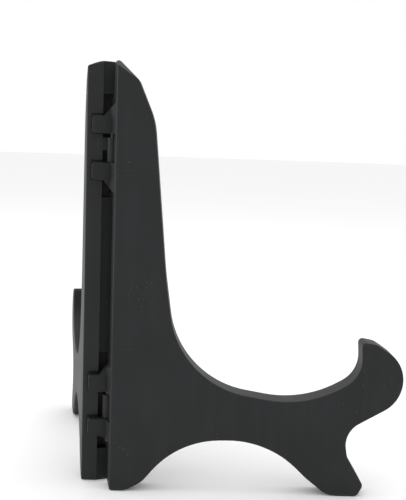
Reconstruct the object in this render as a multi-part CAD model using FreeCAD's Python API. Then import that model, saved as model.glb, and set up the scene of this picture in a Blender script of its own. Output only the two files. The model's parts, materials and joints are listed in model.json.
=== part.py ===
import FreeCAD, Part
import math
import os

# A folding stand made of two moulded plastic leaves. They are mirror images in outline and open to a V
# in plan, with the spine at the back. Two hinge stations join them: at each one the left leaf has a pair
# of claws, the right leaf has a knuckle between them, and a pin runs through all three.
#
# The model is built about the hinge axis, which is vertical. Each leaf has its own frame there:
# "along" is the distance from the axis towards the front, "out" the distance from the plane where the
# folded leaves meet, and "up" the height. At the end everything moves to the centre of the base.

V = FreeCAD.Vector

# Driving dimensions, in millimetres and degrees
height = 150.0                  # top of a leaf's outer face
open_angle = 99.6               # between the leaves when the stand is set up
leaf_thickness = 8.8
folded_gap = 0.4                # between the two inner faces when folded
spine_setback = 1.86            # from the hinge axis to the back edge, at the outer face
spine_lean = 0.185              # how far the back edge moves back for each millimetre inwards
heel_radius = 1.0
crown_radius = 1.0
outer_edge_radius = 0.6         # round on the outline of the outer face
crown_rise = 1.8                # how far the inner part of the spine's top stands above the outer face

# Leaf outline: distance from the back edge, height, and corner radius, from the top of the spine
# forward over the cradle and the knob, and back under the arch. It starts and ends behind the back
# edge, which is cut to its lean afterwards.
leaf_outline = [
    (-3.0, height + crown_rise, 0.0),   # top of the spine
    (0.5, height + crown_rise, 1.5),
    (7.5, 145.0, 4.0),                  # shoulder
    (13.2, 131.5, 26.0),
    (18.2, 78.5, 120.0),                # front edge of the upright
    (23.8, 40.0, 33.5),                 # back of the cradle
    (69.0, 32.5, 40.0),                 # floor of the cradle
    (89.0, 44.0, 11.0),                 # root of the lip
    (88.1, 56.7, 1.5),                  # tip of the lip
    (93.8, 55.7, 6.0),
    (104.3, 48.7, 12.0),                # knob
    (102.6, 35.0, 12.5),
    (83.3, 23.8, 8.8),                  # neck above the front foot
    (84.8, 14.5, 6.3),
    (91.1, 4.0, 2.0),
    (88.9, 0.0, 2.0),                   # front foot
    (78.3, 0.0, 9.5),
    (70.3, 6.3, 19.5),                  # arch
    (56.1, 19.9, 35.0),
    (24.3, 19.0, 32.0),
    (11.4, 3.2, 11.5),
    (5.4, 0.0, 9.0),
    (-3.0, 0.0, 0.0),                   # heel
]

# Spine edge: the outer part of its thickness is a proud land, the inner part is a strip set back.
# The right leaf's strip ends in a tongue past the hinge plane, which closes the gap between the
# leaves, and the left leaf's inner face has a rebate for it.
strip_width = 3.3
strip_setback = 0.9
strip_fall = 0.8                # how much deeper the strip is at its inner edge
tongue_reach = 0.55             # past the hinge plane
tongue_depth = 5.0
rebate_clearance = 0.45

# Hinge stations, each measured from the underside of its lower claw
station_heights = {"upper": 110.5, "lower": 18.15}
claw_height = 6.1
claw_gap = 10.15
claw_wall = 1.35                # plastic between the pin and the claw's back face
claw_reach = 7.2                # how far a claw reaches out across the other leaf's land
claw_corner = 0.9
claw_bend = 1.1                 # where the claw's back face turns towards its own leaf
claw_root = 7.4                 # where that face meets its own leaf's spine edge
eye_radius = 2.4
eye_clearance = 0.35
notch_depth = 0.15
notch_clearance = 0.06
notch_side = 0.3
notch_above = 0.9
notch_below = 0.25
gusset_start = 3.2
gusset_end = -1.3
gusset_height = 5.6
pocket_depth = 4.3              # stops short of the tongue's front, which leaves the pocket an end wall
pocket_wall = 0.1               # the pocket's inner wall ends here, out from the hinge plane
pocket_below = 6.2
pocket_above = 7.6
knuckle_radius = 1.9
knuckle_clearance = 0.25
knuckle_below = 0.25            # end play under the knuckle
knuckle_above = 1.45            # and above it
rib_width = 1.2
web_height = 4.4
web_face = 0.9
web_depth = 4.0
pin_radius = 0.8
pin_clearance = 0.05
pin_below = 3.0                 # pin end below the lower claw
pin_above = 2.0                 # and above the upper claw
pin_point = 0.2

half_gap = folded_gap / 2
outer_face = half_gap + leaf_thickness
strip_edge = half_gap + strip_width
leaf_length = 130.0             # longer than a leaf
back_face = -(pin_radius + pin_clearance + claw_wall)
station_height = 2 * claw_height + claw_gap
bore_length = station_height + 2 * (gusset_height + 1)
turn = 90.0 - open_angle / 2    # from the X axis to the right leaf
far = 40.0                      # longer than anything near the hinge
TOP = V(0, 0, 1)


def rounded_face(corners, place):
    """A face bounded by straight runs between rounded corners; place() puts a flat point in space."""
    flat = [FreeCAD.Vector(a, b, 0) for a, b, radius in corners]
    runs = []
    for i, (a, b, radius) in enumerate(corners):
        here = flat[i]
        back = (flat[i - 1] - here).normalize()
        ahead = (flat[(i + 1) % len(flat)] - here).normalize()
        half = back.getAngle(ahead) / 2
        to_centre = (back + ahead).normalize() * (radius / math.sin(half))
        start = here + back * (radius / math.tan(half))
        end = here + ahead * (radius / math.tan(half))
        middle = here + to_centre - (back + ahead).normalize() * radius
        runs.append([place(p.x, p.y) for p in (start, middle, end)])
    edges = []
    for i, (start, middle, end) in enumerate(runs):
        next_start = runs[(i + 1) % len(runs)][0]
        if start.distanceToPoint(end) > 1e-6:
            edges.append(Part.Arc(start, middle, end).toShape())
        if end.distanceToPoint(next_start) > 1e-6:
            edges.append(Part.LineSegment(end, next_start).toShape())
    return Part.Face(Part.Wire(edges))


def polygon_face(points):
    return Part.Face(Part.makePolygon(points + points[:1]))


def box(along, out, up):
    """A box in a leaf's frame, from three (low, high) pairs."""
    size = [high - low for low, high in (along, out, up)]
    return Part.makeBox(size[0], size[1], size[2], V(along[0], out[0], up[0]))


def round_edges(solid, radius, picks):
    edges = [edge for edge in solid.Edges if picks(edge)]
    return solid.makeFillet(radius, edges)


def back_edge(out):
    """How far the leaning back edge of a leaf is from the axis, at one place in its thickness."""
    return spine_setback - (outer_face - out) * spine_lean


def lies_on(edge, out):
    return abs(edge.BoundBox.YMin - out) < 1e-4 and abs(edge.BoundBox.YMax - out) < 1e-4


def leans(edge, low, high):
    """Whether an edge runs across the back edge of a leaf, between two heights."""
    ends = [v.Point for v in edge.Vertexes]
    on_back = all(abs(p.x - back_edge(p.y)) < 1e-4 for p in ends)
    return on_back and all(low < p.z < high for p in ends)


def leaf_blank(inner_face):
    """One leaf in its own frame, from inner_face outwards, with its back edge leaned and rounded."""
    face = rounded_face(leaf_outline, lambda u, w: V(spine_setback + u, inner_face, w))
    leaf = face.extrude(V(0, outer_face - inner_face, 0))
    behind = [
        V(back_edge(outer_face + 1), outer_face + 1, -1),
        V(back_edge(inner_face - 1), inner_face - 1, -1),
        V(-far, inner_face - 1, -1),
        V(-far, outer_face + 1, -1),
    ]
    leaf = leaf.cut(polygon_face(behind).extrude(V(0, 0, height + 10)))

    leaf = round_edges(leaf, heel_radius, lambda e: leans(e, -1, 1))
    leaf = round_edges(leaf, crown_radius, lambda e: leans(e, height, height + 5))
    leaf = round_edges(leaf, outer_edge_radius, lambda e: lies_on(e, outer_face))

    # The spine's top falls away towards the outer face, on a plane that dies out at the shoulder
    corner = V(spine_setback, outer_face, height)
    along_shoulder = V(leaf_outline[2][0], 0, leaf_outline[2][1] - height)
    across = V(0, strip_edge - outer_face, crown_rise)
    slab = [corner + along_shoulder * a + across * b for a, b in ((-1, -1), (1.4, -1), (1.4, 2), (-1, 2))]
    return leaf.cut(polygon_face(slab).extrude(V(0, 0, 8)))


def strip_cut():
    """What is cut away behind the set-back strip."""
    step = back_edge(strip_edge) + strip_setback
    inner = -tongue_reach - 1
    points = [(step, strip_edge), (step + strip_fall, inner), (-far, inner), (-far, strip_edge)]
    return polygon_face([V(a, o, -1) for a, o in points]).extrude(V(0, 0, height + 10))


def right_frame(shape):
    return shape.rotated(V(0, 0, 0), TOP, -turn)


def left_frame(shape):
    return right_frame(shape).mirror(V(0, 0, 0), V(1, 0, 0))


def right_point(along, out):
    cos, sin = math.cos(math.radians(turn)), math.sin(math.radians(turn))
    return V(along * cos + out * sin, out * cos - along * sin, 0)


def left_point(along, out):
    p = right_point(along, out)
    return V(-p.x, p.y, 0)


def claw_outline(low, gusset_up, curved):
    """The claw as seen from behind, in the right leaf's frame: an arm with rounded tips and a gusset."""
    top = low + claw_height
    start = top if gusset_up else low
    step = gusset_height if gusset_up else -gusset_height
    flat = low if gusset_up else top
    corners = [(-far / 2, flat, 0.01), (claw_reach, flat, claw_corner), (claw_reach, start, claw_corner)]
    corners.append((gusset_start, start, 0.3))
    if curved:
        corners.append((gusset_end, start + step * 0.35, 3.2))
        corners.append((gusset_end - 0.4, start + step, 0.01))
    else:
        corners.append((gusset_end, start + step, 0.5))
    corners.append((-far / 2, start + step, 0.01))
    if not gusset_up:
        corners.reverse()
    face = rounded_face(corners, lambda out, up: V(-far / 2, out, up))
    return right_frame(face.extrude(V(far, 0, 0)))


def claw_plan(low, high):
    """The claw as seen from above: the arm, the eye round the pin, and its root in the left leaf."""
    floor = spine_setback + notch_depth - notch_clearance
    points = [
        right_point(back_face, claw_reach),
        right_point(floor, claw_reach),
        right_point(floor, 4.2),
        right_point(0.6, 3.0),
        left_point(4.0, 0.95),
        left_point(4.0, claw_root),
        left_point(back_edge(claw_root), claw_root),
        right_point(back_face, claw_bend),
    ]
    arm = polygon_face([p + V(0, 0, low) for p in points]).extrude(V(0, 0, high - low))
    eye = Part.makeCylinder(eye_radius, high - low, V(0, 0, low))
    return arm.fuse(eye)


def claws(base, curved):
    low, high = base - gusset_height, base + station_height + gusset_height
    plan = claw_plan(low, high)
    lower = claw_outline(base, False, curved)
    upper = claw_outline(base + claw_height + claw_gap, True, False)
    both = plan.common(lower.fuse(upper))
    return both


def left_leaf():
    leaf = leaf_blank(half_gap)
    rebate_end = spine_setback + tongue_depth + rebate_clearance
    rebate = box((-far, rebate_end), (-1, tongue_reach + rebate_clearance), (-1, height + 5))
    leaf = left_frame(leaf.cut(rebate))
    for name, base in station_heights.items():
        gap = base + claw_height
        leaf = leaf.cut(Part.makeCylinder(knuckle_radius + knuckle_clearance, claw_gap, V(0, 0, gap)))
        leaf = leaf.fuse(claws(base, curved=name == "lower"))
        bore = Part.makeCylinder(pin_radius + pin_clearance, bore_length, V(0, 0, base - gusset_height - 1))
        leaf = leaf.cut(bore)
    return leaf.removeSplitter()


def knuckle(base, with_web):
    """The barrel round the pin, in the right leaf's frame, with the rib and web that hold it."""
    low = base + claw_height + knuckle_below
    high = base + claw_height + claw_gap - knuckle_above
    barrel = Part.makeCylinder(knuckle_radius, high - low, V(0, 0, low))
    floor = spine_setback + pocket_depth + 1
    rib = box((0, floor), (half_gap, half_gap + rib_width), (low, high))
    shape = barrel.fuse(rib)
    if with_web:
        web = box((web_face, web_face + web_depth), (half_gap, strip_edge + 0.5), (high - web_height, high))
        shape = shape.fuse(web)
    return shape


def right_leaf():
    leaf = leaf_blank(-tongue_reach).cut(strip_cut())
    front = (spine_setback + tongue_depth, leaf_length)
    leaf = leaf.cut(box(front, (-tongue_reach - 1, half_gap), (-1, height + 5)))
    for name, base in station_heights.items():
        up = (base - pocket_below, base + station_height + pocket_above)
        leaf = leaf.cut(box((0, eye_radius + eye_clearance), (-1, strip_edge), up))
        leaf = leaf.cut(box((0, spine_setback + pocket_depth), (pocket_wall, strip_edge), up))
        for claw in (base, base + claw_height + claw_gap):
            up = (claw - notch_below, claw + claw_height + notch_above)
            notch = box((0, spine_setback + notch_depth), (0, claw_reach + notch_side), up)
            leaf = leaf.cut(notch)
        leaf = leaf.fuse(knuckle(base, with_web=name == "upper"))
        leaf = leaf.cut(Part.makeCylinder(pin_radius, far, V(0, 0, base)))
    return right_frame(leaf.removeSplitter())


def hinge_pin(base):
    length = pin_below + station_height + pin_above
    pin = Part.makeCylinder(pin_radius, length, V(0, 0, base - pin_below))
    return pin.makeChamfer(pin_point, [e for e in pin.Edges if e.Closed])


nodes = {"left_leaf": left_leaf(), "right_leaf": right_leaf()}
for name, base in station_heights.items():
    nodes[name + "_hinge_pin"] = hinge_pin(base)

# The origin is the centre of the base of the whole stand when it is set up
whole = Part.makeCompound(list(nodes.values())).optimalBoundingBox(False)
shift = V(-whole.Center.x, -whole.Center.y, -whole.ZMin)
os.makedirs("parts", exist_ok=True)
for name, shape in nodes.items():
    solid = shape.Solids[0]
    solid.translate(shift)
    print(name, "solids", len(shape.Solids), "valid", solid.isValid(), "volume", round(solid.Volume, 1))
    solid.exportStep("parts/" + name + ".step")
print("hinge axis at", round(shift.x, 4), round(shift.y, 4), "box", whole)
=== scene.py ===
import json
import math

import bmesh
import bpy
from mathutils import Matrix, Vector

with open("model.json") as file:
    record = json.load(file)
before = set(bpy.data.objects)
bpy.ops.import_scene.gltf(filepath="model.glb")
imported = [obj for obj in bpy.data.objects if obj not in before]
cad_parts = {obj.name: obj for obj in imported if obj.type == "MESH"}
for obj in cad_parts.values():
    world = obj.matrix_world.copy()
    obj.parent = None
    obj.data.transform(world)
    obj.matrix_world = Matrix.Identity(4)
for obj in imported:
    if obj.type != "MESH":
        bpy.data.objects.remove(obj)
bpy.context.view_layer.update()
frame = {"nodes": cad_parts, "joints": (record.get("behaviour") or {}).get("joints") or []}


# The two leaves: each is one thick moulding of charcoal plastic, shot in a steel mould whose walls
# are spark-eroded to a fine matt grain. They come out of the mould in one piece with their claws,
# knuckles and feet, and nothing is glued or screwed to them.
class Sock:
    """A shader socket that Python arithmetic can be written on; each operation adds a Math node."""

    def __init__(self, tree, socket):
        self.tree = tree
        self.socket = socket

    def maths(self, operation, *values):
        return node(self.tree, "ShaderNodeMath", {"operation": operation}, dict(enumerate(values)))

    def __add__(self, other):
        return self.maths("ADD", self, other)

    __radd__ = __add__

    def __sub__(self, other):
        return self.maths("SUBTRACT", self, other)

    def __rsub__(self, other):
        return self.maths("SUBTRACT", other, self)

    def __mul__(self, other):
        return self.maths("MULTIPLY", self, other)

    __rmul__ = __mul__

    def step(self, low, high):
        """0 below low, 1 above high, and smooth between."""
        ends = {"Value": self, "From Min": low, "From Max": high}
        return node(self.tree, "ShaderNodeMapRange", {"interpolation_type": "SMOOTHSTEP"}, ends)


def node(tree, kind, settings=None, inputs=None, output=0):
    """Adds one node: its settings first, then the values or links of its sockets."""
    made = tree.nodes.new(kind)
    for name, value in (settings or {}).items():
        setattr(made, name, value)
    for name, value in (inputs or {}).items():
        if isinstance(value, Sock):
            tree.links.new(value.socket, made.inputs[name])
        else:
            made.inputs[name].default_value = value
    return Sock(tree, made.outputs[output])


def noise(tree, place, scale, detail=2.0, stretch=(1, 1, 1), turn=(0, 0, 0)):
    """Noise from 0 to 1 on object coordinates, in features per metre; stretch below 1 draws it out."""
    laid = node(tree, "ShaderNodeMapping", None, {"Vector": place, "Scale": stretch, "Rotation": turn})
    return node(tree, "ShaderNodeTexNoise", None, {"Vector": laid, "Scale": scale, "Detail": detail})


def blend(tree, mask, below, above):
    """One colour where the mask is 0 and another where it is 1."""
    sockets = {0: mask, 6: below, 7: above}     # a Mix node's factor and its two colours
    return node(tree, "ShaderNodeMix", {"data_type": "RGBA"}, sockets, output=2)


def finish_plastic(name, base, roughness, specular):
    """A new material with its constants set, and its tree, shader and object coordinates."""
    material = bpy.data.materials.new(name)
    material.use_nodes = True
    tree = material.node_tree
    shader = tree.nodes["Principled BSDF"]
    shader.inputs["Base Color"].default_value = base
    shader.inputs["Roughness"].default_value = roughness
    shader.inputs["Specular IOR Level"].default_value = specular
    return material, tree, shader, node(tree, "ShaderNodeTexCoord", output="Object")


charcoal = (0.0068, 0.0075, 0.0083, 1)
charcoal_pale = (0.0115, 0.0124, 0.0134, 1)    # where the grain is shallower
scuffed_and_edge_highlight = (0.030, 0.0315, 0.033, 1)             # plastic whitened by rubbing, and on the edges also a painted highlight
lint = (0.16, 0.16, 0.155, 1)
leaf_roughness = 0.50
leaf_specular = 0.30
grain_depth = 0.00005
grain_strength = 0.35
edge_wear_and_highlight_reach = 0.0007                            # how far from an edge its wear and painted highlight run
edge_samples = 4
sole_height = 0.0012                           # the part of the feet that rubs on the shelf

leaf_plastic, tree, shader, place = finish_plastic(
    "charcoal_plastic", charcoal, leaf_roughness, leaf_specular
)
height = node(tree, "ShaderNodeSeparateXYZ", None, {"Vector": place}, output="Z")

clouding = noise(tree, place, 70, 3.0).step(0.3, 0.7)
flow = noise(tree, place, 260, 2.0, stretch=(1, 1, 0.12)).step(0.42, 0.72)
grain = noise(tree, place, 2600, 3.0)
pits = noise(tree, place, 5200, 1.0)
colour = blend(tree, clouding * 0.6 + flow * 0.25 + grain * 0.15, charcoal, charcoal_pale)

hairlines = noise(tree, place, 420, 1.0, stretch=(0.1, 0.1, 3.2), turn=(0.5, 0.2, 0.9)).step(0.70, 0.78)
patches = noise(tree, place, 38, 2.0).step(0.5, 0.66)
scratches = hairlines * patches
rubbed_sole = 1 - height.step(sole_height * 0.3, sole_height)
worn = scratches * 0.5 + rubbed_sole * 0.55
colour = blend(tree, worn, colour, scuffed_and_edge_highlight)

# Edges: lighter where the Bevel normal turns away from the flat one. This is partly rubbing wear and
# partly a painted highlight, standing in for the light that rounded edges catch.
edge_normal = node(tree, "ShaderNodeBevel", {"samples": edge_samples}, {"Radius": edge_wear_and_highlight_reach})
flat_normal = node(tree, "ShaderNodeNewGeometry", output="Normal")
normals = {0: edge_normal, 1: flat_normal}
facing = node(tree, "ShaderNodeVectorMath", {"operation": "DOT_PRODUCT"}, normals, output="Value")
edge_wear_and_highlight = (1 - facing).step(0.02, 0.16) * noise(tree, place, 500, 3.0).step(0.35, 0.7)
colour = blend(tree, edge_wear_and_highlight * 0.45, colour, scuffed_and_edge_highlight)

specks = noise(tree, place, 1700, 0.0).step(0.79, 0.82) * noise(tree, place, 60, 1.0).step(0.5, 0.7)
colour = blend(tree, specks * 0.35, colour, lint)
shine = leaf_roughness + clouding * 0.05 - flow * 0.03 + grain * 0.06
shine = shine - edge_wear_and_highlight * 0.12 - worn * 0.06 + specks * 0.2
relief = {
    "Strength": grain_strength,
    "Distance": grain_depth,
    "Height": grain * 0.7 + pits * 0.3 - scratches * 0.3,
}
bump = node(tree, "ShaderNodeBump", None, relief)
tree.links.new(colour.socket, shader.inputs["Base Color"])
tree.links.new(shine.socket, shader.inputs["Roughness"])
tree.links.new(bump.socket, shader.inputs["Normal"])


def dress(name, material):
    """Gives a carried-over node its finish."""
    slots = frame["nodes"][name].data.materials
    slots.clear()
    slots.append(material)


for name in ("left_leaf", "right_leaf"):
    dress(name, leaf_plastic)


# The two hinge pins: short rods of harder, smoother black plastic, drawn and cut to length, pressed
# through the knuckles of the right leaf. Turning in the claws has rubbed fine dull rings round them.
pin_black = (0.010, 0.0105, 0.0115, 1)
pin_rubbed = (0.030, 0.031, 0.033, 1)
pin_roughness = 0.30
pin_specular = 0.5
ring_depth = 0.00002
ring_strength = 0.2

pin_plastic, tree, shader, place = finish_plastic(
    "smooth_pin_plastic", pin_black, pin_roughness, pin_specular
)
rings = noise(tree, place, 900, 2.0, stretch=(0.15, 0.15, 4)).step(0.45, 0.7)
draw_lines = noise(tree, place, 2200, 1.0, stretch=(1, 1, 0.04))
colour = blend(tree, rings * 0.6, pin_black, pin_rubbed)
shine = pin_roughness + rings * 0.12 + draw_lines * 0.06
relief = {"Strength": ring_strength, "Distance": ring_depth, "Height": draw_lines + rings * 0.5}
bump = node(tree, "ShaderNodeBump", None, relief)
tree.links.new(colour.socket, shader.inputs["Base Color"])
tree.links.new(shine.socket, shader.inputs["Roughness"])
tree.links.new(bump.socket, shader.inputs["Normal"])

for name in ("upper_hinge_pin", "lower_hinge_pin"):
    dress(name, pin_plastic)


# The floor: a plain sheet of pale matt board, which isn't part of the stand. It is one flat disc,
# wide enough that its far edge shows only as a faint line against the light behind it.
floor_white = (0.93, 0.93, 0.93, 1)
floor_mottled = (0.91, 0.91, 0.91, 1)
floor_roughness = 0.9
floor_specular = 0.2
floor_radius = 8.0
floor_sides = 96

floor_material, tree, shader, place = finish_plastic(
    "pale_board", floor_white, floor_roughness, floor_specular
)
mottle = noise(tree, place, 3, 3.0)
colour = blend(tree, mottle, floor_white, floor_mottled)
tree.links.new(colour.socket, shader.inputs["Base Color"])

mesh = bpy.data.meshes.new("floor")
floor = bpy.data.objects.new("floor", mesh)
bpy.context.scene.collection.objects.link(floor)
board = bmesh.new()
bmesh.ops.create_circle(board, cap_ends=True, radius=floor_radius, segments=floor_sides)
board.to_mesh(mesh)
board.free()
mesh.materials.append(floor_material)


# Studio light: an even pale surround, with one large soft panel low at the side that the right leaf's
# outer face looks at, and one overhead. They are plain rectangles of light.
hinge = Vector(frame["joints"][0]["pos_m"])
lit_height = 0.07                              # the panels face this far up the hinge
surround = 1.0
panels = {
    # name: (place, size, watts)
    "side_panel": ((0.75, 0.65, 0.30), 0.7, 3.5),
    "top_panel": ((0.0, 0.0, 1.1), 0.9, 3.0),
}

world = bpy.data.worlds.new("studio")
bpy.context.scene.world = world
world.use_nodes = True
world.node_tree.nodes["Background"].inputs["Color"].default_value = (1, 1, 1, 1)
world.node_tree.nodes["Background"].inputs["Strength"].default_value = surround
for name, (spot, size, watts) in panels.items():
    data = bpy.data.lights.new(name, "AREA")
    data.size = size
    data.energy = watts
    lamp = bpy.data.objects.new(name, data)
    bpy.context.scene.collection.objects.link(lamp)
    aim = hinge + Vector((0, 0, lit_height)) - Vector(spot)
    lamp.matrix_world = Matrix.Translation(spot) @ aim.to_track_quat("-Z", "Y").to_matrix().to_4x4()


# The camera: behind the stand on the left leaf's side, a little above its middle, looking at the
# hinge past the left leaf's outer face, and rolled by a degree or two.
azimuth, elevation, roll = (math.radians(angle) for angle in (219.05, 6.83, 1.87))
stand_off = Vector((-0.22128, 0.22058, 0.12393))     # from the foot of the hinge axis
sensor_mm = 36.0
focal_mm = 63.28

data = bpy.data.cameras.new("camera")
data.sensor_width = sensor_mm
data.lens = focal_mm
camera = bpy.data.objects.new("camera", data)
bpy.context.scene.collection.objects.link(camera)
level = Vector((math.cos(azimuth), math.sin(azimuth), 0))
back = Vector((level.y, -level.x, 0)) * math.cos(elevation) + Vector((0, 0, math.sin(elevation)))
right = level * math.cos(roll) + back.cross(level) * math.sin(roll)
axes = Matrix((right, back.cross(right), back)).transposed()
camera.matrix_world = Matrix.Translation(Vector((hinge.x, hinge.y, 0)) + stand_off) @ axes.to_4x4()
bpy.context.scene.camera = camera
bpy.context.scene.view_settings.view_transform = "Standard"
